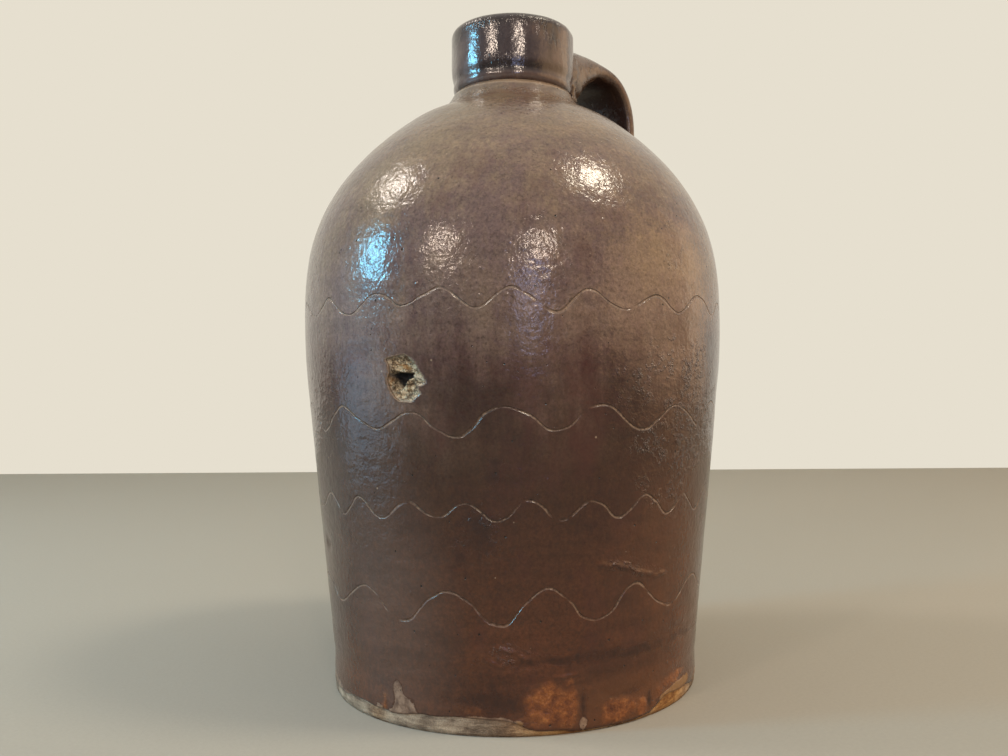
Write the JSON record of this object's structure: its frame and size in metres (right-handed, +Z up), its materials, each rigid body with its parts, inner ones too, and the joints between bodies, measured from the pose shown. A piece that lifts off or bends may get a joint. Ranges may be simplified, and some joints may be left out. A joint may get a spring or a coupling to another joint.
{
  "type": "stoneware jug",
  "caption": "Narrow-mouthed salt-glazed stoneware jug with a straight tapering wall, domed shoulder, thick collar for a cork and a strap handle.",
  "frame": {"origin": "centre of the foot, on the surface that the jug stands on", "axes": "+Z up along the axis that the jug was turned about, +X towards the handle, +Y across it"},
  "size_m": [0.18, 0.18, 0.2813],
  "materials": {
    "clay": "bare fired stoneware, buff, toasted to orange where the coat is thin",
    "brown_glaze": "brown salt-glazed coat with an orange-peel skin, satin to glossy",
    "dark_glaze": "near-black brown glossy coat",
    "slip": "dark brown clay slip, glossy"
  },
  "bodies": {
    "root": {"thrown_body": "clay", "neck_collar": "clay", "strap_handle": "clay", "body_glaze": "brown_glaze", "collar_glaze": "dark_glaze", "handle_glaze": "brown_glaze", "lining_glaze": "slip"}
  },
  "joints": []
}
